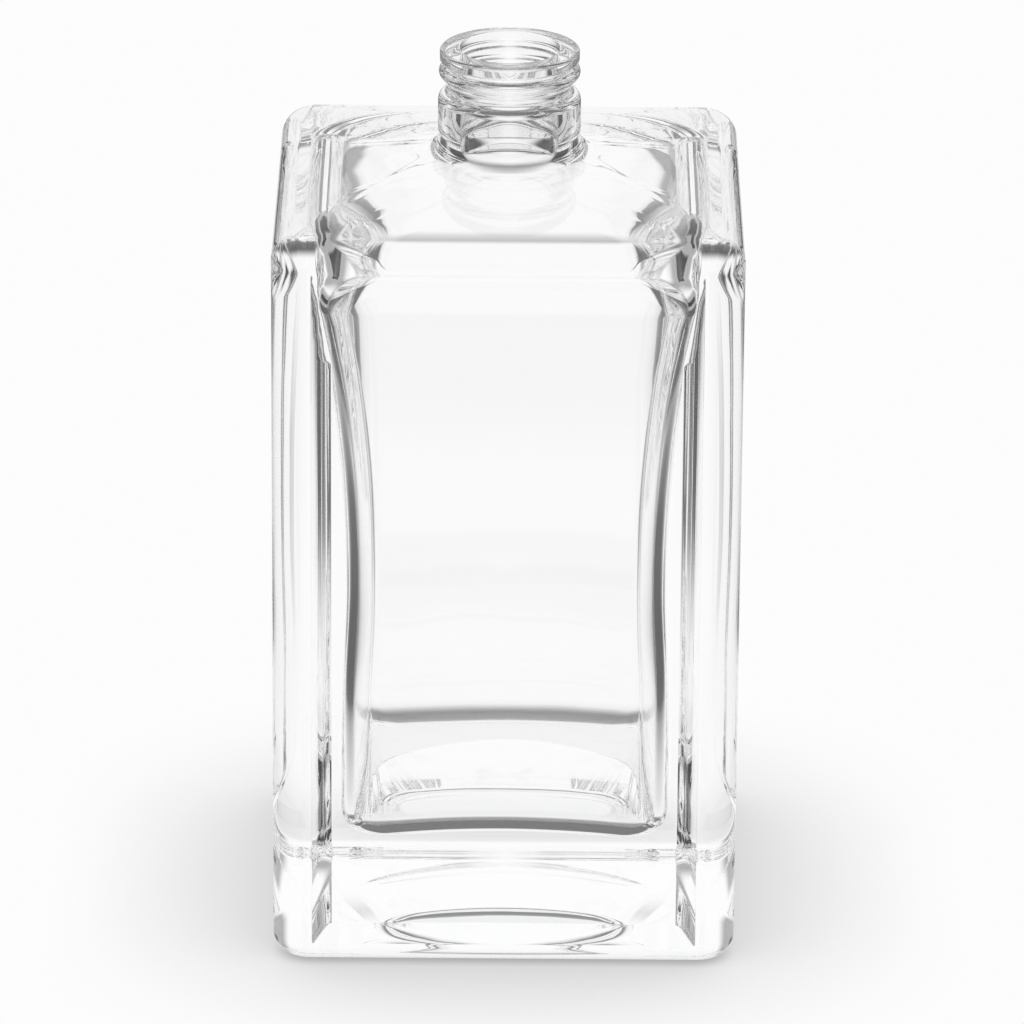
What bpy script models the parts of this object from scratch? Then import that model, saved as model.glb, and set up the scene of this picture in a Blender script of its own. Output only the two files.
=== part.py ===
"""Square clear glass aftershave bottle: sunken faces, thick base, blown cavity and an open, ringed neck."""

import math

import bmesh
import bpy

# Outer block, in metres.
BODY_WIDTH = 0.0580
BODY_DEPTH = 0.0580
BODY_HEIGHT = 0.0953
UPRIGHT_EDGE_RADIUS = 0.0048
SHOULDER_EDGE_RADIUS = 0.0035
HEEL_EDGE_RADIUS = 0.0026

# Shoulder, which climbs from a narrow flat inside its rounded edge to the foot of the neck.
SHOULDER_RISE = 0.0032
SHOULDER_FLAT = 0.0003

# Panel sunk into each upright face, with a sloping border that runs out longer at the top.
PANEL_DEPTH = 0.0007
PANEL_BORDER = 0.00255
PANEL_TOP_BORDER = 0.0120
PANEL_MARGIN = 0.0002

# Push-up moulded into the underside.
PUSH_UP_RADIUS = 0.0215
PUSH_UP_HEIGHT = 0.0026

# Glass left round the blown cavity.
BASE_THICKNESS = 0.0138
SHOULDER_THICKNESS = 0.0022
WALL_AT_FOOT = 0.0085
WALL_AT_WAIST = 0.0091
WALL_AT_TOP = 0.0036
CAVITY_FOOT_HEIGHT = 0.0310
CAVITY_WAIST_HEIGHT = 0.0470
WALL_TAPER_POWER = 2.1
CAVITY_FLOOR_RADIUS = 0.0048
FLOOR_RISE = 0.0020
FLOOR_SWELL_REACH = 0.0240
FLOOR_SWELL_TOP = 0.0300
FLOOR_POLE_RADIUS = 0.0015
CAVITY_CEILING_RADIUS = 0.0080
CAVITY_CORNER_RADIUS = 0.0040
CEILING_CORNER_RADIUS = 0.0100
CEILING_RISE = 0.0022
CEILING_CURVE_POWER = 1.3
BORE_ROOT_RADIUS = 0.0022

# Neck, its height from the level of the shoulder's edge and its rings measured down from the rim.
NECK_HEIGHT = 0.0162
BORE_RADIUS = 0.00615
MOUTH_EDGE_RADIUS = 0.0003
LIP_RADIUS = 0.0087
LIP_HEIGHT = 0.0013
LIP_EDGE_RADIUS = 0.0005
GROOVE_RADIUS = 0.0079
GROOVE_DROP = 0.0021
BEAD_RADIUS = 0.0088
BEAD_DROP = 0.0030
BEAD_HALF_HEIGHT = 0.0009
COLLAR_RADIUS = 0.0089
COLLAR_DROP = 0.0056
COLLAR_EDGE_RADIUS = 0.0011
NECK_FOOT_RADIUS = 0.0017

# How far joined or cutting shapes run past the faces that they meet.
OVERLAP = 0.0020
WELD_DISTANCE = 0.00001

# Arcs, in degrees, that stop short of running smoothly into the next face, so that the faces cross there.
COLLAR_ARC = (80, 0)
NECK_FOOT_ARC = (180, 255)
BORE_ROOT_ARC = (260, 180)
MOUTH_ARC = (180, 105)

# Facets.
UPRIGHT_SEGMENTS = 10
EDGE_SEGMENTS = 6
TURN_STEPS = 64
CORNER_STEPS = 6
FLAT_STEPS = 4
ARC_STEPS = 6
SIDE_SECTIONS = 12
FLOOR_SECTIONS = 5
CEILING_SECTIONS = 8
SHOULDER_SECTIONS = 6
PUSH_UP_RINGS = 6

# Glass.
GLASS_COLOUR = (0.96, 0.98, 0.98, 1.0)
GLASS_ROUGHNESS = 0.02
GLASS_IOR = 1.51

NECK_TOP = BODY_HEIGHT + NECK_HEIGHT
SHOULDER_TOP = BODY_HEIGHT + SHOULDER_RISE
CEILING_HEIGHT = BODY_HEIGHT - SHOULDER_THICKNESS


def clear_scene():
    """Removes every object that the scene starts with."""
    for obj in list(bpy.data.objects):
        bpy.data.objects.remove(obj, do_unlink=True)


def new_collection(name):
    """Adds a collection to the scene."""
    collection = bpy.data.collections.new(name)
    bpy.context.scene.collection.children.link(collection)
    return collection


def add_object(name, collection, bm):
    """Turns a bmesh into an object with smooth shading."""
    mesh = bpy.data.meshes.new(name)
    bm.to_mesh(mesh)
    bm.free()
    mesh.shade_smooth()
    obj = bpy.data.objects.new(name, mesh)
    collection.objects.link(obj)
    return obj


def glass_material():
    """Clear soda-lime glass."""
    material = bpy.data.materials.new("clear_glass")
    material.use_nodes = True
    shader = material.node_tree.nodes["Principled BSDF"]
    shader.inputs["Base Color"].default_value = GLASS_COLOUR
    shader.inputs["Roughness"].default_value = GLASS_ROUGHNESS
    shader.inputs["IOR"].default_value = GLASS_IOR
    shader.inputs["Transmission Weight"].default_value = 1.0
    return material


def arc(centre, radius, start, end):
    """Points (r, z) along an arc, its angles in degrees from the +r direction towards +z."""
    points = []
    for i in range(ARC_STEPS + 1):
        angle = math.radians(start + (end - start) * i / ARC_STEPS)
        points.append((centre[0] + radius * math.cos(angle), centre[1] + radius * math.sin(angle)))
    return points


def turned(name, collection, profile):
    """A solid of revolution from a profile (r, z) that runs from the top to the bottom."""
    bm = bmesh.new()
    verts = [bm.verts.new((r, 0.0, z)) for r, z in profile]
    for a, b in zip(verts, verts[1:]):
        bm.edges.new((a, b))
    obj = add_object(name, collection, bm)
    screw = obj.modifiers.new("turn", "SCREW")
    screw.axis = "Z"
    screw.steps = TURN_STEPS
    screw.render_steps = TURN_STEPS
    screw.use_merge_vertices = True
    screw.merge_threshold = WELD_DISTANCE
    screw.use_smooth_shade = True
    return obj


def body_block(name, collection):
    """The outer block, with its upright edges, shoulder and heel rounded in turn."""
    bm = bmesh.new()
    bmesh.ops.create_cube(bm, size=1.0)
    bmesh.ops.scale(bm, vec=(BODY_WIDTH, BODY_DEPTH, BODY_HEIGHT), verts=bm.verts)
    bmesh.ops.translate(bm, vec=(0.0, 0.0, BODY_HEIGHT / 2), verts=bm.verts)
    weights = bm.edges.layers.float.new("bevel_weight_edge")
    for edge in bm.edges:
        low, high = sorted(vert.co.z for vert in edge.verts)
        edge[weights] = 1.0 if high - low > BODY_HEIGHT / 2 else 0.0
    obj = add_object(name, collection, bm)
    shoulder = obj.vertex_groups.new(name="shoulder")
    heel = obj.vertex_groups.new(name="heel")
    for vert in obj.data.vertices:
        group = shoulder if vert.co.z > BODY_HEIGHT / 2 else heel
        group.add([vert.index], 1.0, "REPLACE")
    upright = obj.modifiers.new("upright_edges", "BEVEL")
    upright.limit_method = "WEIGHT"
    upright.width = UPRIGHT_EDGE_RADIUS
    upright.segments = UPRIGHT_SEGMENTS
    for label, radius in (("shoulder", SHOULDER_EDGE_RADIUS), ("heel", HEEL_EDGE_RADIUS)):
        bevel = obj.modifiers.new(label + "_edge", "BEVEL")
        bevel.limit_method = "VGROUP"
        bevel.vertex_group = label
        bevel.width = radius
        bevel.segments = EDGE_SEGMENTS
    return obj


def neck_profile():
    """Outer profile of the neck, from the rim down to its root inside the shoulder."""
    lip_edge = (LIP_RADIUS - LIP_EDGE_RADIUS, NECK_TOP - LIP_EDGE_RADIUS)
    bead = NECK_TOP - BEAD_DROP
    collar = NECK_TOP - COLLAR_DROP
    collar_edge = (COLLAR_RADIUS - COLLAR_EDGE_RADIUS, collar - COLLAR_EDGE_RADIUS)
    foot = (COLLAR_RADIUS + NECK_FOOT_RADIUS, SHOULDER_TOP + NECK_FOOT_RADIUS)
    profile = [(0.0, NECK_TOP)]
    profile += arc(lip_edge, LIP_EDGE_RADIUS, 90, 0)
    profile.append((LIP_RADIUS, NECK_TOP - LIP_HEIGHT))
    profile.append((GROOVE_RADIUS, NECK_TOP - GROOVE_DROP))
    for i in range(1, ARC_STEPS):
        angle = math.pi * i / ARC_STEPS
        swell = (BEAD_RADIUS - GROOVE_RADIUS) * math.sin(angle)
        profile.append((GROOVE_RADIUS + swell, bead + BEAD_HALF_HEIGHT * math.cos(angle)))
    profile.append((GROOVE_RADIUS, bead - BEAD_HALF_HEIGHT))
    profile.append((GROOVE_RADIUS, collar))
    profile += arc(collar_edge, COLLAR_EDGE_RADIUS, *COLLAR_ARC)
    profile += arc(foot, NECK_FOOT_RADIUS, *NECK_FOOT_ARC)
    profile.append((foot[0], SHOULDER_TOP - OVERLAP))
    profile.append((0.0, SHOULDER_TOP - OVERLAP))
    return profile


def panel_cutter(name, collection, width, reach, turn):
    """Cuts the sunken panel of the face at a reach from the axis, turned about it from the front."""
    side = width / 2 - UPRIGHT_EDGE_RADIUS - PANEL_MARGIN
    low = HEEL_EDGE_RADIUS + PANEL_MARGIN
    high = BODY_HEIGHT - SHOULDER_EDGE_RADIUS - PANEL_MARGIN
    bm = bmesh.new()
    bmesh.ops.create_cube(bm, size=1.0)
    for vert in bm.verts:
        depth = math.copysign(PANEL_DEPTH, vert.co.y)
        border = PANEL_BORDER * depth / PANEL_DEPTH
        top_border = PANEL_TOP_BORDER * depth / PANEL_DEPTH
        vert.co.x = math.copysign(side - border, vert.co.x)
        vert.co.z = high - top_border if vert.co.z > 0 else low + border
        vert.co.y = depth - reach
    cutter = add_object(name, collection, bm)
    cutter.rotation_euler.z = math.radians(turn)
    return cutter


def push_up_profile():
    """Shallow dome under the base, carried on below the bearing face."""
    reach = math.sqrt(1.0 + OVERLAP / PUSH_UP_HEIGHT)
    profile = []
    for i in range(PUSH_UP_RINGS + 1):
        share = reach * i / PUSH_UP_RINGS
        profile.append((PUSH_UP_RADIUS * share, PUSH_UP_HEIGHT * (1.0 - share * share)))
    profile.append((0.0, -OVERLAP))
    return profile


def rounded_section(half_x, half_y, radius, height):
    """Points of a rounded rectangle, anticlockwise from the middle of its +X side."""
    points = []
    for corner in range(4):
        across, along = (half_x, half_y) if corner % 2 == 0 else (half_y, half_x)
        local = [(across, (along - radius) * i / FLAT_STEPS) for i in range(FLAT_STEPS)]
        for i in range(CORNER_STEPS):
            angle = math.radians(90 * i / CORNER_STEPS)
            bend = (radius * math.cos(angle), radius * math.sin(angle))
            local.append((across - radius + bend[0], along - radius + bend[1]))
        local += [((across - radius) * (1 - i / FLAT_STEPS), along) for i in range(FLAT_STEPS)]
        cos, sin = math.cos(math.radians(90 * corner)), math.sin(math.radians(90 * corner))
        points += [(x * cos - y * sin, x * sin + y * cos, height) for x, y in local]
    return points


def round_section(radius, height):
    """A circle with as many points as a rounded rectangle, in the same order."""
    count = 4 * (2 * FLAT_STEPS + CORNER_STEPS)
    angles = [2 * math.pi * i / count for i in range(count)]
    return [(radius * math.cos(a), radius * math.sin(a), height) for a in angles]


def between(inner, outer, share, power=1.0):
    """The section part of the way from an inner to an outer one, its height by a power of the share."""
    points = []
    for start, end in zip(inner, outer):
        x = start[0] + (end[0] - start[0]) * share
        y = start[1] + (end[1] - start[1]) * share
        points.append((x, y, start[2] + (end[2] - start[2]) * share**power))
    return points


def shoulder_sections():
    """Sections of the climbing shoulder, from inside the block up to the foot of the neck."""
    inset = SHOULDER_EDGE_RADIUS
    sides = (BODY_WIDTH / 2 - inset, BODY_DEPTH / 2 - inset)
    corner = UPRIGHT_EDGE_RADIUS - inset
    run = BODY_WIDTH / 2 - inset - SHOULDER_FLAT - COLLAR_RADIUS - NECK_FOOT_RADIUS
    edge = rounded_section(*sides, corner, BODY_HEIGHT - SHOULDER_FLAT * SHOULDER_RISE / run)
    foot = round_section(COLLAR_RADIUS + NECK_FOOT_RADIUS, SHOULDER_TOP)
    root = rounded_section(*sides, corner, BODY_HEIGHT - OVERLAP)
    steps = range(SHOULDER_SECTIONS, -1, -1)
    return [root] + [between(foot, edge, i / SHOULDER_SECTIONS) for i in steps]


def eased(share):
    """A share held between 0 and 1, with a soft start and end."""
    share = min(max(share, 0.0), 1.0)
    return share * share * (3.0 - 2.0 * share)


def wall_at(height):
    """Thickness of the side walls at a height: thickest at the waist, thinner above and a little below."""
    if height < CAVITY_WAIST_HEIGHT:
        share = (CAVITY_WAIST_HEIGHT - height) / (CAVITY_WAIST_HEIGHT - CAVITY_FOOT_HEIGHT)
        return WALL_AT_WAIST + (WALL_AT_FOOT - WALL_AT_WAIST) * eased(share)
    share = (height - CAVITY_WAIST_HEIGHT) / (CEILING_HEIGHT - CAVITY_WAIST_HEIGHT)
    return WALL_AT_WAIST + (WALL_AT_TOP - WALL_AT_WAIST) * min(share, 1.0) ** WALL_TAPER_POWER


def cavity_section(height, inset, corner_radius):
    """Section of the cavity at a height, drawn in from the side walls by an inset."""
    wall = wall_at(height) + inset
    return rounded_section(BODY_WIDTH / 2 - wall, BODY_DEPTH / 2 - wall, corner_radius, height)


def swelled(section):
    """A section of the cavity, lifted with the swell of the floor, which dies out up the walls."""
    points = []
    for x, y, z in section:
        fade = eased((FLOOR_SWELL_TOP - z) / (FLOOR_SWELL_TOP - BASE_THICKNESS))
        middle = 1.0 - (x * x + y * y) / FLOOR_SWELL_REACH**2
        points.append((x, y, z + FLOOR_RISE * middle * fade))
    return points


def cavity_sections():
    """Sections of the cavity and the bore, from the middle of the floor up through the mouth."""
    pole = round_section(FLOOR_POLE_RADIUS, BASE_THICKNESS)
    floor = cavity_section(BASE_THICKNESS, CAVITY_FLOOR_RADIUS, CAVITY_CORNER_RADIUS)
    sections = [between(pole, floor, i / FLOOR_SECTIONS) for i in range(FLOOR_SECTIONS)]
    low = BASE_THICKNESS + CAVITY_FLOOR_RADIUS
    for drawn_in, height in arc((0.0, low), CAVITY_FLOOR_RADIUS, -90, 0):
        sections.append(cavity_section(height, CAVITY_FLOOR_RADIUS - drawn_in, CAVITY_CORNER_RADIUS))
    high = CEILING_HEIGHT - CAVITY_CEILING_RADIUS
    for i in range(1, SIDE_SECTIONS):
        height = low + (high - low) * i / SIDE_SECTIONS
        sections.append(cavity_section(height, 0.0, CAVITY_CORNER_RADIUS))
    root = (BORE_RADIUS + BORE_ROOT_RADIUS, CEILING_HEIGHT + CEILING_RISE + BORE_ROOT_RADIUS)
    run = BODY_WIDTH / 2 - wall_at(high) - CAVITY_CEILING_RADIUS - root[0]
    slope = math.degrees(math.atan(CEILING_RISE * CEILING_CURVE_POWER / run))
    for i, (reach, height) in enumerate(arc((0.0, high), CAVITY_CEILING_RADIUS, 0, 90 - slope)):
        corner = CAVITY_CORNER_RADIUS + (CEILING_CORNER_RADIUS - CAVITY_CORNER_RADIUS) * i / ARC_STEPS
        sections.append(cavity_section(height, CAVITY_CEILING_RADIUS - reach, corner))
    ceiling = sections[-1]
    bore = [round_section(r, z) for r, z in arc(root, BORE_ROOT_RADIUS, *BORE_ROOT_ARC)]
    for i in range(CEILING_SECTIONS - 1, 0, -1):
        sections.append(between(bore[0], ceiling, i / CEILING_SECTIONS, CEILING_CURVE_POWER))
    sections += bore
    mouth = (BORE_RADIUS + MOUTH_EDGE_RADIUS, NECK_TOP - MOUTH_EDGE_RADIUS)
    sections += [round_section(r, z) for r, z in arc(mouth, MOUTH_EDGE_RADIUS, *MOUTH_ARC)]
    sections.append(round_section(mouth[0], NECK_TOP + OVERLAP))
    return [swelled(section) for section in sections]


def loft(name, collection, sections):
    """A closed solid through sections that hold equally many points, from the lowest to the highest."""
    bm = bmesh.new()
    rings = [[bm.verts.new(point) for point in section] for section in sections]
    count = len(rings[0])
    for low, high in zip(rings, rings[1:]):
        for i in range(count):
            j = (i + 1) % count
            bm.faces.new((low[i], low[j], high[j], high[i]))
    bm.faces.new(reversed(rings[0]))
    bm.faces.new(rings[-1])
    return add_object(name, collection, bm)


def apply_solid(obj, other, operation):
    """Joins another solid to an object, or cuts it from the object."""
    boolean = obj.modifiers.new(other.name, "BOOLEAN")
    boolean.operation = operation
    boolean.solver = "EXACT"
    boolean.object = other
    other.hide_render = True
    other.display_type = "WIRE"


def main():
    clear_scene()
    bottle = new_collection("aftershave_bottle")
    helpers = new_collection("helpers")
    glass = body_block("glass_bottle", bottle)
    glass.data.materials.append(glass_material())
    for face, turn in (("front", 0), ("right", 90), ("back", 180), ("left", 270)):
        width, depth = (BODY_WIDTH, BODY_DEPTH) if turn % 180 == 0 else (BODY_DEPTH, BODY_WIDTH)
        panel = panel_cutter(face + "_panel_cutter", helpers, width, depth / 2, turn)
        apply_solid(glass, panel, "DIFFERENCE")
    apply_solid(glass, loft("shoulder_blank", helpers, shoulder_sections()), "UNION")
    apply_solid(glass, turned("neck_blank", helpers, neck_profile()), "UNION")
    apply_solid(glass, turned("push_up_cutter", helpers, push_up_profile()), "DIFFERENCE")
    apply_solid(glass, loft("cavity_cutter", helpers, cavity_sections()), "DIFFERENCE")


main()
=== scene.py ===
"""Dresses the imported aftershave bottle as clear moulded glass, on a white table in soft light."""

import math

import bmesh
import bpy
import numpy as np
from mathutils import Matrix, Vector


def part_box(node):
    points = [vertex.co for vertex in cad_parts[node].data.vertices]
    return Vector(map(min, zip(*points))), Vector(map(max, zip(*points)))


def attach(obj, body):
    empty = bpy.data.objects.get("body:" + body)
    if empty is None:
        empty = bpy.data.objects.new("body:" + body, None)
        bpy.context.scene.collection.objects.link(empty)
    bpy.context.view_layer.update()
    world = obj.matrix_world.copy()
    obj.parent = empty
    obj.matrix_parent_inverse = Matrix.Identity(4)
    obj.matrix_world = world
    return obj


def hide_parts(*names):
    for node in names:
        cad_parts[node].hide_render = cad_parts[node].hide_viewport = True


bl_info = {
    "name": "Clear glass aftershave bottle",
    "version": (1, 0, 0),
    "blender": (4, 5, 0),
    "location": "3D View > Sidebar > Bottle",
    "description": "Makes the moulded glass of the bottle in its packed frame, and the white studio round it",
    "category": "Object",
}

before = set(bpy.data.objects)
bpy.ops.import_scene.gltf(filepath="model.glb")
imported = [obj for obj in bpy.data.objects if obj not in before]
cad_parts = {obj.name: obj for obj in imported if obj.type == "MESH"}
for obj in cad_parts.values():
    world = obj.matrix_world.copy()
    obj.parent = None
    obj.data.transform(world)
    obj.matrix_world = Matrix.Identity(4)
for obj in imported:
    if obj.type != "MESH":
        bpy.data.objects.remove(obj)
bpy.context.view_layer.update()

NODE = "glass_bottle"
NODE_LOW, NODE_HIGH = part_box(NODE)
PHOTO_SIZE = 1024
SENSOR_WIDTH = 36.0

# Points in each ring of the glass, and rings along each stretch of it.
FLAT_STEPS = 12
CORNER_STEPS = 20
PUSH_UP_RINGS = 20
FACE_RINGS = 5
ARC_RINGS = 12
CEILING_ARC_RINGS = 24
SIDE_RINGS = 16
SHOULDER_RINGS = 16
CEILING_RINGS = 16
CAVITY_RINGS = 40
FLOOR_RINGS = 12
NECK_ARC_RINGS = 8
TUBE_RINGS = 5

# Where rings and points gather about a panel's sloping border, as shares of the border's width.
BORDER_STATIONS = (1.2, 1.05, 1.025, 1.0, 0.975, 0.95, 0.75, 0.5, 0.25, 0.01, 0.0)
BORDER_EASE = 0.05
TOP_STATIONS = (1.3, 1.05, 1.025, 1.0, 0.975, 0.95, 0.75, 0.5, 0.3, 0.2, 0.1, 0.05, 0.02)
CREASE_GUARD = 0.0001
MERGE_DISTANCE = CREASE_GUARD / 100

# The neck's undercut, and the angles in degrees at which its partial arcs stop or start.
LIP_UNDERCUT = 0.0004
LIP_ARC_START = -60
COLLAR_ARC_END = 80
BORE_ARC_END = 260

# Weight that makes the larger face decide the shading at an edge.
FACE_WEIGHT = 100

# Middle of a noise texture's values, and the factor that takes them to -1 and 1.
NOISE_MIDDLE = 0.5
NOISE_STRETCH = 2.0

# Share of the thick glass level from which the base's colour fades.
THICK_FADE = 0.5

# Blend at which Layer Weight's Facing is one minus the cosine of the slant.
PLAIN_FACING = 0.5
SHADOW_SAMPLES = 12

# Faces that light may meet on its way through the clear glass.
GLASS_BOUNCES = 32

# Places of the colour sockets of a Mix node.
MIX_COLOUR_A = 6
MIX_COLOUR_B = 7
MIX_COLOUR_RESULT = 2


def length(name, description, default):
    """A size of the bottle or the studio, in metres."""
    return bpy.props.FloatProperty(
        name=name, description=description, default=default, precision=5, unit="LENGTH"
    )


def share(name, description, default):
    """A plain number."""
    return bpy.props.FloatProperty(name=name, description=description, default=default, precision=3)


def turn(name, description, default):
    """An angle, given in degrees."""
    return bpy.props.FloatProperty(
        name=name, description=description, default=math.radians(default), precision=4, unit="ROTATION"
    )


def colour(name, description, default):
    """A colour without alpha."""
    return bpy.props.FloatVectorProperty(
        name=name, description=description, default=default, size=3, min=0.0, max=1.0, subtype="COLOR"
    )


class BottleSizes(bpy.types.PropertyGroup):
    """Sizes of the moulded glass."""

    width: length("Width", "Width of the body", NODE_HIGH.x - NODE_LOW.x)
    depth: length("Depth", "Depth of the body", NODE_HIGH.y - NODE_LOW.y)
    height: length("Height", "Height from the table to the rim", NODE_HIGH.z)
    neck_height: length("Neck height", "From the shoulder to the rim", 0.0162)
    upright_radius: length("Upright edge radius", "Rounding of the four upright edges", 0.0048)
    shoulder_radius: length("Shoulder edge radius", "Rounding round the shoulder", 0.0035)
    shoulder_rise: length("Shoulder rise", "Climb of the shoulder from its edge to the neck", 0.0032)
    heel_radius: length("Heel radius", "Rounding round the foot", 0.0026)
    panel_depth: length("Panel depth", "How far each face is sunk", 0.0007)
    panel_border: length("Panel border", "Width of the slope round a sunken face", 0.00255)
    panel_top_border: length("Panel top border", "Length of the slope at the top of a face", 0.012)
    panel_margin: length("Panel margin", "Flat left between a slope and the rounded edge", 0.0002)
    push_up_radius: length("Push-up radius", "Radius of the dome under the base", 0.0215)
    push_up_height: length("Push-up height", "Height of the dome under the base", 0.0026)
    base_thickness: length("Base thickness", "Glass under the cavity's edge", 0.0138)
    floor_rise: length("Floor rise", "Swell of the cavity's floor in its middle", 0.0020)
    floor_swell_reach: length("Floor swell reach", "Radius over which the floor swells", 0.024)
    floor_swell_top: length("Floor swell top", "Height at which the swell has died out", 0.030)
    shoulder_thickness: length("Shoulder thickness", "Glass over the cavity's edge", 0.0022)
    wall_foot: length("Wall at the foot", "Thickness of the walls near the floor", 0.0085)
    wall_waist: length("Wall at the waist", "Greatest thickness of the walls", 0.0091)
    wall_top: length("Wall at the top", "Thickness of the walls under the shoulder", 0.0036)
    foot_level: length("Foot level", "Height below which the wall stays even", 0.0310)
    waist_level: length("Waist level", "Height of the thickest wall", 0.0470)
    wall_power: share("Wall taper", "How late the wall thins towards the top", 2.1)
    floor_radius: length("Cavity floor radius", "Rounding of the cavity at its floor", 0.0048)
    ceiling_radius: length("Cavity ceiling radius", "Rounding of the cavity at its ceiling", 0.0080)
    cavity_corner: length("Cavity corner radius", "Rounding of the cavity's upright corners", 0.0040)
    ceiling_corner: length("Ceiling corner radius", "Rounding of those corners at the ceiling", 0.0100)
    ceiling_rise: length("Ceiling rise", "Rise of the ceiling towards the bore", 0.0022)
    ceiling_power: share("Ceiling curve", "How near the edge the ceiling droops", 1.3)
    bore_root: length("Bore root radius", "Rounding where the bore meets the ceiling", 0.0022)
    bore: length("Bore radius", "Radius of the bore", 0.00615)
    mouth_edge: length("Mouth edge radius", "Rounding of the rim's inner edge", 0.0003)
    lip: length("Lip radius", "Outer radius of the lip", 0.0087)
    lip_height: length("Lip height", "Height of the lip", 0.0013)
    lip_edge: length("Lip edge radius", "Rounding of the rim's outer edge", 0.0005)
    groove: length("Groove radius", "Outer radius between the rings", 0.0079)
    groove_drop: length("Groove drop", "From the rim to the groove", 0.0021)
    bead: length("Bead radius", "Outer radius of the bead", 0.0088)
    bead_drop: length("Bead drop", "From the rim to the middle of the bead", 0.0030)
    bead_half: length("Bead half height", "Half the height of the bead", 0.0009)
    collar: length("Collar radius", "Outer radius of the collar", 0.0089)
    collar_drop: length("Collar drop", "From the rim to the top of the collar", 0.0056)
    collar_edge: length("Collar edge radius", "Rounding of the collar's upper edge", 0.0011)
    neck_foot: length("Neck foot radius", "Fillet between the neck and the shoulder", 0.0017)


class GlassFinish(bpy.types.PropertyGroup):
    """Finish of the glass."""

    clear: colour("Clear glass", "Colour of the walls", (0.986, 0.987, 0.987))
    thick: colour("Thick glass", "Colour of the thick base", (0.982, 0.988, 0.986))
    index: share("Refractive index", "Index of soda-lime glass", 1.51)
    thick_level: length("Thick glass level", "Height up to which the base's colour shows", 0.014)
    unevenness: length("Unevenness", "Depth of the waves left on the blown inside", 0.00005)
    wave_size: length("Wave size", "Distance between those waves", 0.012)
    seed: bpy.props.IntProperty(name="Seed", description="Chooses the waves", default=3)
    peel: length("Peel", "Height of the fine ripple that the mould leaves", 0.000001)
    peel_size: length("Peel size", "Distance between those ripples", 0.004)


class StudioSettings(bpy.types.PropertyGroup):
    """Camera, table and light."""

    focal_pixels: share("Focal length", "In pixels of the photograph", 8269.14)
    elevation: turn("Elevation", "Angle of the view above the table", 21.03819)
    roll: turn("Roll", "Tilt of the camera about its own axis", 0.41986)
    distance: length("Distance", "From the camera to the point it looks at", 1.04725)
    aim_side: length("Aim side", "Sideways place of the point looked at", 0.00068)
    aim_height: length("Aim height", "Height of the point looked at", 0.04979)
    table_size: length("Table size", "Side of the square table", 6.0)
    table_gap: length("Table gap", "Air left under the bearing face", 0.0002)
    table_white: colour("Table white", "Colour of the table", (0.98, 0.98, 0.98))
    shadow: colour("Shadow", "Colour of the table close under the bottle", (0.40, 0.40, 0.40))
    shadow_reach: length("Shadow reach", "How far from the bottle its shadow fades out", 0.03)
    glow: share("Glow", "Least share of the light that the glass shows on the table under it", 0.85)
    table_dim: colour("Table dim", "Colour of the table that the glass shows unlit", (0.10, 0.10, 0.10))
    strip_edge: length("Strip edge", "Sideways distance at which the lit strip of the table ends", 0.045)
    strip_soft: length("Strip softness", "Width over which the strip fades out", 0.08)
    footprint: length("Footprint", "Half the side of the square of table that lies under the bottle", 0.030)
    front_edge: length("Front edge", "How far in front of the axis the table under the bottle dims", 0.012)
    steep_end: share("Steep end", "How slantwise the table is seen where it is dimmest", 0.22)
    steep_start: share("Steep start", "How slantwise the table is seen where it starts to dim", 0.42)
    surround: colour("Surround", "Colour of the soft light", (1.0, 1.0, 1.0))
    dark: colour("Dark", "Colour of the dark boards beside the table", (0.02, 0.02, 0.02))
    side_start: share("Side start", "How far sideways a direction is where the lit backdrop ends", 0.30)
    side_soft: share("Side softness", "Over how much of that the backdrop fades out", 0.20)
    side_dimming: share("Side dimming", "How dark the room beside the backdrop is", 0.60)
    overhead_start: share("Overhead start", "Height of a direction where the light overhead begins", 0.50)
    overhead_soft: share("Overhead softness", "Over how much height that light fades in", 0.20)
    board_side: share("Board side", "How far sideways a direction is where a board begins", 0.62)
    board_low: share("Board bottom", "Height of a direction at a board's lower edge", 0.10)
    board_high: share("Board top", "Height of a direction at a board's upper edge", 0.45)
    board_soft: share("Board softness", "Over how much a board fades out", 0.08)


class Value:
    """A number socket that takes part in Python sums, each of which adds a Math node."""

    def __init__(self, nodes, socket):
        self.nodes = nodes
        self.socket = socket

    def math(self, operation, *others):
        """A Math node on this number and others."""
        return self.nodes.add("ShaderNodeMath", {"operation": operation}, dict(enumerate((self, *others))))

    def __add__(self, other):
        return self.math("ADD", other)

    def __mul__(self, other):
        return self.math("MULTIPLY", other)

    def __sub__(self, other):
        return self.math("SUBTRACT", other)

    def __rsub__(self, other):
        return self * -1.0 + other

    def __rtruediv__(self, other):
        return self.math("POWER", -1.0) * other

    def __abs__(self):
        return self.math("ABSOLUTE")

    def larger(self, other):
        """The larger of two numbers."""
        return self.math("MAXIMUM", other)

    def step(self, start, end):
        """0 below start, 1 above end and a smooth climb between them."""
        inputs = {"Value": self, "From Min": start, "From Max": end}
        return self.nodes.add("ShaderNodeMapRange", {"interpolation_type": "SMOOTHSTEP"}, inputs)

    def blend(self, low, high):
        """The first colour where this number is 0 and the second where it is 1."""
        inputs = {0: self, MIX_COLOUR_A: rgba(low), MIX_COLOUR_B: rgba(high)}
        return self.nodes.add("ShaderNodeMix", {"data_type": "RGBA"}, inputs, MIX_COLOUR_RESULT)


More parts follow.
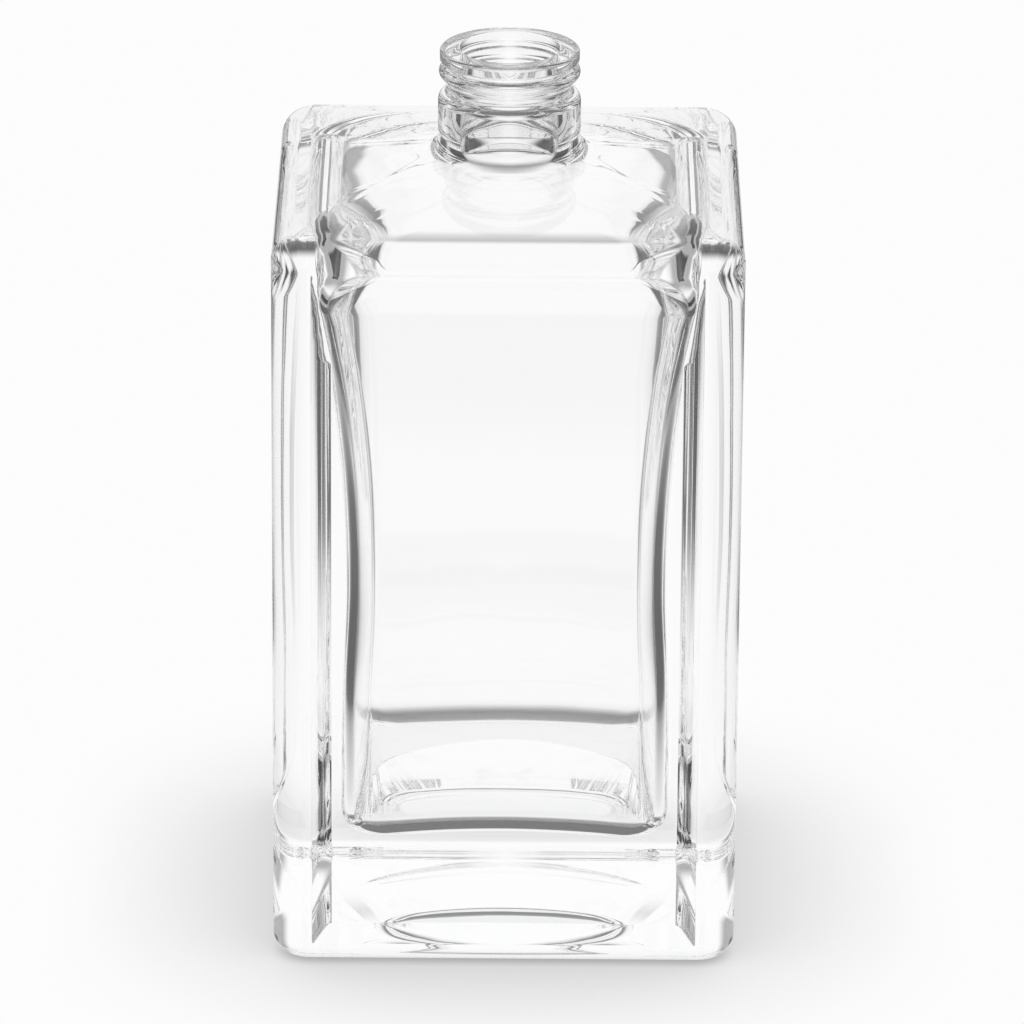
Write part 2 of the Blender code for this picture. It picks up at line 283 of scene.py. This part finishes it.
class Nodes:
    """The node tree of a material, a world or a modifier."""

    def __init__(self, tree):
        self.tree = tree

    def add(self, kind, settings=None, inputs=None, output=0):
        """A new node with its settings and its inputs, as one of its outputs."""
        node = self.tree.nodes.new(kind)
        for name, value in (settings or {}).items():
            setattr(node, name, value)
        for name, value in (inputs or {}).items():
            self.feed(node.inputs[name], value)
        return Value(self, node.outputs[output]) if node.outputs else node

    def feed(self, socket, value):
        """Links a value to a socket, or writes a plain one on it."""
        if isinstance(value, Value):
            self.tree.links.new(value.socket, socket)
        else:
            socket.default_value = value

    def part(self, value, output):
        """Another output of the node that a value comes from."""
        return Value(self, value.socket.node.outputs[output])


def empty_tree(owner):
    """The bare node tree of a material or a world."""
    owner.use_nodes = True
    owner.node_tree.nodes.clear()
    return Nodes(owner.node_tree)


def rgba(value):
    """A colour property with full alpha."""
    return (*value, 1.0)


def eased(u):
    """A smooth climb from 0 to 1."""
    return u * u * (3 - 2 * u)


def arc(centre, radius, start, end, steps=NECK_ARC_RINGS):
    """Points (r, z) along an arc, its angles in degrees from +r towards +z."""
    angles = np.radians(np.linspace(start, end, steps + 1))
    return [(centre[0] + radius * math.cos(a), centre[1] + radius * math.sin(a)) for a in angles]


class GlassShape:
    """Rings of points from under the base, up the outside, over the rim and down inside to the floor."""

    def __init__(self, sizes):
        self.sizes = sizes
        self.body_height = sizes.height - sizes.neck_height
        self.neck_level = self.body_height + sizes.shoulder_rise
        self.ceiling = self.body_height - sizes.shoulder_thickness
        self.shares = self.side_shares()
        self.count = 4 * (2 * len(self.shares) + CORNER_STEPS)
        self.rings = []

    def side_shares(self):
        """Places along half a side, from its middle to its corner, close together about a panel's border."""
        s = self.sizes
        half = s.width / 2 - s.upright_radius
        reaches = [s.panel_margin + s.panel_border * station for station in BORDER_STATIONS]
        near = [1.0 - reach / half for reach in reaches + [CREASE_GUARD]]
        even = [near[0] * i / FLAT_STEPS for i in range(FLAT_STEPS)]
        return even + near

    def square(self, inset, radius, height):
        """A rounded rectangle, set in from the body's faces, anticlockwise from the middle of its +X side."""
        sides = (self.sizes.width / 2 - inset, self.sizes.depth / 2 - inset)
        points = []
        for corner in range(4):
            across, along = sides if corner % 2 == 0 else sides[::-1]
            side = [(across, (along - radius) * u) for u in self.shares]
            bend = arc((across - radius, along - radius), radius, 0, 90, CORNER_STEPS)[:-1]
            back = [((across - radius) * u, along) for u in [1.0] + self.shares[:0:-1]]
            quarter = np.array(side + bend + back)
            cos, sin = ((1, 0), (0, 1), (-1, 0), (0, -1))[corner]
            points.append(quarter @ np.array([[cos, sin], [-sin, cos]]))
        flat = np.concatenate(points)
        return np.column_stack([flat, np.full(len(flat), height)])

    def circle(self, radius, height):
        """A circle with as many points as a rounded rectangle, in the same order."""
        angles = 2 * math.pi * np.arange(self.count) / self.count
        flat = radius * np.column_stack([np.cos(angles), np.sin(angles)])
        return np.column_stack([flat, np.full(self.count, height)])

    def fill(self, start, end, steps):
        """Rings that lead evenly from one ring to another, both left out."""
        for i in range(1, steps):
            self.rings.append(start + (end - start) * i / steps)

    def add_underside(self):
        """The push-up, the bearing face and the heel."""
        s = self.sizes
        for i in range(1, PUSH_UP_RINGS + 1):
            u = i / PUSH_UP_RINGS
            self.rings.append(self.circle(s.push_up_radius * u, s.push_up_height * (1 - u * u)))
        heel = [
            self.square(s.heel_radius - r, s.upright_radius - s.heel_radius + r, z + s.heel_radius)
            for r, z in arc((0.0, 0.0), s.heel_radius, -90, 0, ARC_RINGS)
        ]
        self.fill(self.rings[-1], heel[0], FACE_RINGS)
        self.rings += heel

    def panel_share(self, reach, border):
        """Share of a panel's depth at a distance in from the top of its sloping border."""
        t = np.maximum(reach / border, 0.0)
        bend = 1.0 - (1.0 + BORDER_EASE - t) ** 2 / (4.0 * BORDER_EASE)
        return np.where(t < 1.0 - BORDER_EASE, t, np.where(t < 1.0 + BORDER_EASE, bend, 1.0))

    def sink_panels(self, ring):
        """Moves the flat stretches of a side ring in, by the depth of the panels at each point."""
        s = self.sizes
        height = ring[0, 2]
        low = self.panel_share(height - s.heel_radius - s.panel_margin, s.panel_border)
        high = self.panel_share(self.body_height - s.shoulder_radius - height, s.panel_top_border)
        halves = (s.width / 2, s.depth / 2)
        places = np.abs(ring[:, :2])
        for axis in (0, 1):
            on_face = places[:, axis] > halves[axis] - MERGE_DISTANCE
            edge = halves[1 - axis] - s.upright_radius - s.panel_margin
            across = self.panel_share(edge - places[:, 1 - axis], s.panel_border)
            depth = s.panel_depth * np.minimum(across, min(low, high))
            ring[:, axis] -= np.where(on_face, np.sign(ring[:, axis]) * depth, 0.0)

    def add_sides(self):
        """The upright faces with their sunken panels."""
        s = self.sizes
        foot = s.heel_radius
        head = self.body_height - s.shoulder_radius
        lows = [foot + CREASE_GUARD] + [
            foot + s.panel_margin + s.panel_border * station for station in BORDER_STATIONS[::-1]
        ]
        highs = [head - s.panel_top_border * station for station in TOP_STATIONS]
        middles = np.linspace(lows[-1], highs[0], SIDE_RINGS + 1)[1:-1]
        for height in [*lows, *middles, *highs]:
            ring = self.square(0.0, s.upright_radius, height)
            self.sink_panels(ring)
            self.rings.append(ring)

    def add_shoulder(self):
        """The rounded edge of the shoulder and its climb in to the foot of the neck."""
        s = self.sizes
        run = s.width / 2 - s.shoulder_radius - s.collar - s.neck_foot
        slope = math.degrees(math.atan(s.shoulder_rise / run))
        centre = (0.0, self.body_height - s.shoulder_radius)
        for r, z in arc(centre, s.shoulder_radius, 0, 90 - slope, ARC_RINGS):
            inset = s.shoulder_radius - r
            self.rings.append(self.square(inset, s.upright_radius - inset, z))
        foot = self.circle(s.collar + s.neck_foot, self.neck_level)
        self.fill(self.rings[-1], foot, SHOULDER_RINGS)

    def neck_profile(self):
        """The neck's profile (r, z): up its outside over the collar, bead and lip, and down the bore."""
        s = self.sizes
        rim = s.height
        shoulder = self.neck_level
        collar_top = rim - s.collar_drop
        bead = rim - s.bead_drop
        profile = arc((s.collar + s.neck_foot, shoulder + s.neck_foot), s.neck_foot, 270, 180)
        upright = np.linspace(shoulder + s.neck_foot, collar_top - s.collar_edge, TUBE_RINGS + 1)
        profile += [(s.collar, z) for z in upright[1:-1]]
        turn_in = (s.collar - s.collar_edge, collar_top - s.collar_edge)
        profile += arc(turn_in, s.collar_edge, 0, COLLAR_ARC_END)
        profile.append((s.groove + CREASE_GUARD, collar_top + CREASE_GUARD / 2))
        profile.append((s.groove, collar_top + 2 * CREASE_GUARD))
        profile.append((s.groove, (collar_top + bead - s.bead_half) / 2))
        for angle in np.linspace(-math.pi, 0.0, 2 * NECK_ARC_RINGS + 1):
            swell = (s.bead - s.groove) * -math.sin(angle)
            profile.append((s.groove + swell, bead + s.bead_half * math.cos(angle)))
        profile.append((s.groove + 2 * CREASE_GUARD, rim - s.groove_drop + CREASE_GUARD))
        profile += arc((s.lip - LIP_UNDERCUT, rim - s.lip_height), LIP_UNDERCUT, LIP_ARC_START, 0)
        profile += arc((s.lip - s.lip_edge, rim - s.lip_edge), s.lip_edge, 0, 90)
        profile += arc((s.bore + s.mouth_edge, rim - s.mouth_edge), s.mouth_edge, 90, 180)
        root = self.ceiling + s.ceiling_rise
        bore = np.linspace(rim - s.mouth_edge, root + s.bore_root, TUBE_RINGS + 2)
        profile += [(s.bore, z) for z in bore[1:-1]]
        profile += arc((s.bore + s.bore_root, root + s.bore_root), s.bore_root, 180, BORE_ARC_END)
        return profile

    def add_neck(self):
        """The neck, turned from its profile."""
        self.rings += [self.circle(r, z) for r, z in self.neck_profile()]

    def wall(self, height):
        """Thickness of the side walls at a height."""
        s = self.sizes
        if height < s.waist_level:
            u = min((s.waist_level - height) / (s.waist_level - s.foot_level), 1.0)
            return s.wall_waist + (s.wall_foot - s.wall_waist) * eased(u)
        u = min((height - s.waist_level) / (self.ceiling - s.waist_level), 1.0)
        return s.wall_waist + (s.wall_top - s.wall_waist) * u**s.wall_power

    def add_cavity(self):
        """The ceiling, the side walls and the floor of the blown cavity."""
        s = self.sizes
        bore = self.rings[-1]
        high = self.ceiling - s.ceiling_radius
        run = s.width / 2 - self.wall(high) - s.ceiling_radius - s.bore - s.bore_root
        slope = math.degrees(math.atan(s.ceiling_rise * s.ceiling_power / run))
        edge = []
        for i, (r, z) in enumerate(arc((0.0, high), s.ceiling_radius, 90 - slope, 0, CEILING_ARC_RINGS)):
            corner = s.ceiling_corner + (s.cavity_corner - s.ceiling_corner) * i / CEILING_ARC_RINGS
            edge.append(self.square(self.wall(z) + s.ceiling_radius - r, corner, z))
        for i in range(1, CEILING_RINGS):
            u = i / CEILING_RINGS
            ring = bore + (edge[0] - bore) * u
            ring[:, 2] = bore[:, 2] + (edge[0][:, 2] - bore[:, 2]) * u**s.ceiling_power
            self.rings.append(ring)
        self.rings += edge
        low = s.base_thickness + s.floor_radius
        for z in np.linspace(high, low, CAVITY_RINGS + 1)[1:-1]:
            self.rings.append(self.square(self.wall(z), s.cavity_corner, z))
        for r, z in arc((0.0, low), s.floor_radius, 0, -90, ARC_RINGS):
            self.rings.append(self.square(self.wall(z) + s.floor_radius - r, s.cavity_corner, z))
        rim = self.rings[-1]
        for i in range(1, FLOOR_RINGS):
            shrink = 1 - i / FLOOR_RINGS
            self.rings.append(rim * np.array([shrink, shrink, 1.0]))

    def swell_floor(self, first):
        """Lifts the middle of the cavity's floor, fading out up its walls."""
        s = self.sizes
        for ring in self.rings[first:]:
            near = np.clip((s.floor_swell_top - ring[:, 2]) / (s.floor_swell_top - s.base_thickness), 0, 1)
            middle = 1 - (ring[:, 0] ** 2 + ring[:, 1] ** 2) / s.floor_swell_reach**2
            ring[:, 2] += s.floor_rise * middle * eased(near)

    def mesh(self, name):
        """The closed skin through all the rings, with an attribute that marks the blown inside."""
        self.add_underside()
        self.add_sides()
        self.add_shoulder()
        self.add_neck()
        inside = len(self.rings)
        self.add_cavity()
        self.swell_floor(inside)
        bm = bmesh.new()
        blown = bm.verts.layers.float.new("blown")
        loops = []
        for index, ring in enumerate(self.rings):
            loops.append([bm.verts.new(point) for point in ring])
            for vert in loops[-1]:
                vert[blown] = 1.0 if index >= inside else 0.0
        for low, high in zip(loops, loops[1:]):
            for i in range(self.count):
                j = (i + 1) % self.count
                bm.faces.new((low[i], low[j], high[j], high[i]))
        for loop, turned in ((loops[0], True), (loops[-1], False)):
            pole = bm.verts.new(sum((vert.co for vert in loop), Vector()) / self.count)
            pole[blown] = loop[0][blown]
            for i in range(self.count):
                pair = (loop[i], loop[(i + 1) % self.count])
                bm.faces.new((*(pair[::-1] if turned else pair), pole))
        bmesh.ops.remove_doubles(bm, verts=bm.verts, dist=MERGE_DISTANCE)
        mesh = bpy.data.meshes.new(name)
        bm.to_mesh(mesh)
        bm.free()
        mesh.shade_smooth()
        return mesh


def glass_material(finish):
    """Clear soda-lime glass with the faint ripple of the mould, and a breath of colour where it is thick."""
    material = bpy.data.materials.new("clear_glass")
    nodes = empty_tree(material)
    place = nodes.part(nodes.add("ShaderNodeTexCoord"), "Object")
    height = nodes.part(nodes.add("ShaderNodeSeparateXYZ", inputs={"Vector": place}), "Z")
    thin = height.step(THICK_FADE * finish.thick_level, finish.thick_level)
    tint = thin.blend(finish.thick, finish.clear)
    ripple = nodes.add("ShaderNodeTexNoise", inputs={"Vector": place, "Scale": 1.0 / finish.peel_size})
    bump = nodes.add("ShaderNodeBump", inputs={"Height": ripple, "Distance": finish.peel, "Strength": 1.0})
    shader = nodes.add(
        "ShaderNodeBsdfPrincipled",
        inputs={
            "Base Color": tint,
            "Roughness": 0.0,
            "IOR": finish.index,
            "Transmission Weight": 1.0,
            "Normal": bump,
        },
    )
    nodes.add("ShaderNodeOutputMaterial", inputs={"Surface": shader})
    return material


def table_material(studio):
    """White table with a painted soft shadow of the bottle, from an ambient occlusion mask.

    Only the camera sees it white all over. Through the glass it shows painted shade beside the lit strip and
    where it is met steeply, and painted light under the bottle.
    """
    material = bpy.data.materials.new("white_table")
    nodes = empty_tree(material)
    ray = nodes.add("ShaderNodeLightPath")
    camera = nodes.part(ray, "Is Camera Ray")
    seen = camera.larger(nodes.part(ray, "Is Glossy Ray")).larger(nodes.part(ray, "Is Transmission Ray"))
    place = nodes.part(nodes.add("ShaderNodeTexCoord"), "Object")
    split = nodes.add("ShaderNodeSeparateXYZ", inputs={"Vector": place})
    sideways = abs(nodes.part(split, "X"))
    away = sideways.larger(abs(nodes.part(split, "Y")))
    # Painted shade, seen only through the glass: the table darkens towards table_dim to the sides of the lit
    # strip, and where rays meet it steeply outside the bottle's footprint or in front under it.
    aside = sideways.step(studio.strip_edge, studio.strip_edge + studio.strip_soft)
    outside = away.step(studio.footprint, studio.footprint + CREASE_GUARD)
    slant = nodes.part(nodes.add("ShaderNodeLayerWeight", inputs={"Blend": PLAIN_FACING}), "Facing")
    steep = 1.0 - slant.step(studio.steep_end, studio.steep_start)
    front = 1.0 - nodes.part(split, "Y").step(-studio.front_edge, 0.0)
    dim = (aside * outside).larger(steep * outside.larger(front)) * (1.0 - camera)
    painted_dim_tone = dim.blend(studio.table_white, studio.table_dim)
    # Painted shadow: the ambient occlusion factor mixes the flat shadow colour into the table's emission,
    # around and under the bottle.
    opening = nodes.add(
        "ShaderNodeAmbientOcclusion", {"samples": SHADOW_SAMPLES}, {"Distance": studio.shadow_reach}, "AO"
    )
    matt = nodes.add("ShaderNodeBsdfDiffuse", inputs={"Color": rgba(studio.table_white)})
    lit = nodes.add("ShaderNodeEmission", inputs={"Color": painted_dim_tone, "Strength": 1.0})
    painted_shadow_emission = nodes.add("ShaderNodeEmission", inputs={"Color": rgba(studio.shadow), "Strength": 1.0})
    # Painted light: through the glass, the painted shadow under the bottle is lifted to at least the glow
    # share of white.
    through = (1.0 - camera) * (1.0 - outside) * studio.glow
    white = nodes.add("ShaderNodeMixShader", inputs={0: opening.larger(through), 1: painted_shadow_emission, 2: lit})
    mixed = nodes.add("ShaderNodeMixShader", inputs={0: seen, 1: matt, 2: white})
    nodes.add("ShaderNodeOutputMaterial", inputs={"Surface": mixed})
    return material


def studio_world(studio):
    """White light, with a dimmer room to the left and right and a dark board on each side.

    The camera sees it white all over. The room and the boards show in the glass and draw its edges.
    """
    world = bpy.data.worlds.new("studio")
    nodes = empty_tree(world)
    place = nodes.part(nodes.add("ShaderNodeTexCoord"), "Generated")
    split = nodes.add("ShaderNodeSeparateXYZ", inputs={"Vector": place})
    sideways = abs(nodes.part(split, "X"))
    height = nodes.part(split, "Z")
    room = sideways.step(studio.side_start, studio.side_start + studio.side_soft) * studio.side_dimming
    overhead = height.step(studio.overhead_start, studio.overhead_start + studio.overhead_soft)
    board = sideways.step(studio.board_side, studio.board_side + studio.board_soft)
    board = board * height.step(studio.board_low, studio.board_low + studio.board_soft)
    board = board * (1.0 - height.step(studio.board_high - studio.board_soft, studio.board_high))
    unseen = 1.0 - nodes.part(nodes.add("ShaderNodeLightPath"), "Is Camera Ray")
    light = ((room * (1.0 - overhead)).larger(board) * unseen).blend(studio.surround, studio.dark)
    back = nodes.add("ShaderNodeBackground", inputs={"Color": light, "Strength": 1.0})
    nodes.add("ShaderNodeOutputWorld", inputs={"Surface": back})
    return world


def blown_tree(material):
    """Geometry nodes that leave shallow waves on the blown inside and give the glass its material."""
    tree = bpy.data.node_groups.new("blown_inside", "GeometryNodeTree")
    tree.interface.new_socket("Geometry", in_out="OUTPUT", socket_type="NodeSocketGeometry")
    tree.interface.new_socket("Geometry", in_out="INPUT", socket_type="NodeSocketGeometry")
    for name in ("Unevenness", "Wave size", "Seed"):
        tree.interface.new_socket(name, in_out="INPUT", socket_type="NodeSocketFloat")
    nodes = Nodes(tree)
    entry = nodes.add("NodeGroupInput")
    blown = nodes.add(
        "GeometryNodeInputNamedAttribute", {"data_type": "FLOAT"}, {"Name": "blown"}, "Attribute"
    )
    waves = nodes.add(
        "ShaderNodeTexNoise",
        {"noise_dimensions": "4D"},
        {"W": nodes.part(entry, "Seed"), "Scale": 1.0 / nodes.part(entry, "Wave size"), "Detail": 1.0},
    )
    lift = (waves - NOISE_MIDDLE) * NOISE_STRETCH * blown * nodes.part(entry, "Unevenness")
    offset = nodes.add(
        "ShaderNodeVectorMath",
        {"operation": "SCALE"},
        {0: nodes.add("GeometryNodeInputNormal"), "Scale": lift},
    )
    moved = nodes.add(
        "GeometryNodeSetPosition", inputs={"Geometry": nodes.part(entry, "Geometry"), "Offset": offset}
    )
    whole = nodes.add("GeometryNodeRealizeInstances", inputs={"Geometry": moved})
    painted = nodes.add("GeometryNodeSetMaterial", inputs={"Geometry": whole, "Material": material})
    nodes.add("NodeGroupOutput", inputs={"Geometry": painted})
    return tree


def set_inputs(modifier, values):
    """Writes the named inputs of a geometry nodes modifier."""
    for item in modifier.node_group.interface.items_tree:
        if item.in_out == "INPUT" and item.name in values:
            modifier[item.identifier] = values[item.name]


def plain_mesh(obj, name):
    """The object's evaluated mesh, with every modifier worked in."""
    graph = bpy.context.evaluated_depsgraph_get()
    graph.update()
    mesh = bpy.data.meshes.new_from_object(obj.evaluated_get(graph))
    mesh.name = name
    return mesh


class BOTTLE_OT_make_glass(bpy.types.Operator):
    """Make the moulded glass bottle with its panels, neck and blown cavity"""

    bl_idname = "bottle.make_glass"
    bl_label = "Make the glass"

    def execute(self, context):
        scene = context.scene
        finish = scene.glass_finish
        material = glass_material(finish)
        glass = bpy.data.objects.new("moulded_glass", GlassShape(scene.bottle_sizes).mesh("moulded_glass"))
        scene.collection.objects.link(glass)
        waves = glass.modifiers.new("blown_inside", "NODES")
        waves.node_group = blown_tree(material)
        set_inputs(
            waves,
            {"Unevenness": finish.unevenness, "Wave size": finish.wave_size, "Seed": float(finish.seed)},
        )
        even = glass.modifiers.new("even_shading", "WEIGHTED_NORMAL")
        even.weight = FACE_WEIGHT
        mesh = plain_mesh(glass, "moulded_glass")
        glass.modifiers.clear()
        glass.data = mesh
        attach(glass, "root")
        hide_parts(NODE)
        return {"FINISHED"}


class BOTTLE_OT_set_stage(bpy.types.Operator):
    """Set the white table, the soft light and the camera"""

    bl_idname = "bottle.set_stage"
    bl_label = "Set the stage"

    def execute(self, context):
        scene = context.scene
        studio = scene.bottle_studio
        self.add_table(scene, studio)
        self.add_camera(scene, studio)
        scene.world = studio_world(studio)
        scene.view_settings.view_transform = "Standard"
        scene.cycles.max_bounces = GLASS_BOUNCES
        scene.cycles.transmission_bounces = GLASS_BOUNCES
        scene.cycles.glossy_bounces = GLASS_BOUNCES
        return {"FINISHED"}

    def add_table(self, scene, studio):
        """The table, a hair below the bearing face."""
        bm = bmesh.new()
        bmesh.ops.create_grid(bm, x_segments=1, y_segments=1, size=studio.table_size / 2)
        bmesh.ops.translate(bm, vec=(0.0, 0.0, NODE_LOW.z - studio.table_gap), verts=bm.verts)
        mesh = bpy.data.meshes.new("table")
        bm.to_mesh(mesh)
        bm.free()
        mesh.materials.append(table_material(studio))
        table = bpy.data.objects.new("table", mesh)
        scene.collection.objects.link(table)

    def add_camera(self, scene, studio):
        """The camera at the photograph's angle."""
        data = bpy.data.cameras.new("camera")
        data.sensor_width = SENSOR_WIDTH
        data.lens = studio.focal_pixels / PHOTO_SIZE * SENSOR_WIDTH
        camera = bpy.data.objects.new("camera", data)
        scene.collection.objects.link(camera)
        ahead = Vector((0.0, math.cos(studio.elevation), -math.sin(studio.elevation)))
        turned = ahead.to_track_quat("-Z", "Y").to_matrix() @ Matrix.Rotation(studio.roll, 3, "Z")
        camera.location = Vector((studio.aim_side, 0.0, studio.aim_height)) - ahead * studio.distance
        camera.rotation_euler = turned.to_euler()
        scene.camera = camera


class BOTTLE_PT_sidebar(bpy.types.Panel):
    """The bottle's sizes, finish and studio"""

    bl_label = "Aftershave bottle"
    bl_idname = "BOTTLE_PT_sidebar"
    bl_space_type = "VIEW_3D"
    bl_region_type = "UI"
    bl_category = "Bottle"

    def draw(self, context):
        for group in (context.scene.bottle_sizes, context.scene.glass_finish, context.scene.bottle_studio):
            box = self.layout.box()
            for name in group.__annotations__:
                box.prop(group, name)
        for operator in OPERATORS:
            self.layout.operator(operator.bl_idname)


GROUPS = {"bottle_sizes": BottleSizes, "glass_finish": GlassFinish, "bottle_studio": StudioSettings}
OPERATORS = (BOTTLE_OT_make_glass, BOTTLE_OT_set_stage)
CLASSES = (*GROUPS.values(), *OPERATORS, BOTTLE_PT_sidebar)


def register():
    for cls in CLASSES:
        bpy.utils.register_class(cls)
    for name, group in GROUPS.items():
        setattr(bpy.types.Scene, name, bpy.props.PointerProperty(type=group))


def unregister():
    for name in GROUPS:
        delattr(bpy.types.Scene, name)
    for cls in reversed(CLASSES):
        bpy.utils.unregister_class(cls)


def main():
    """Registers the add-on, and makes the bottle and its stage."""
    register()
    bpy.ops.bottle.make_glass()
    bpy.ops.bottle.set_stage()


if __name__ == "__main__":
    main()
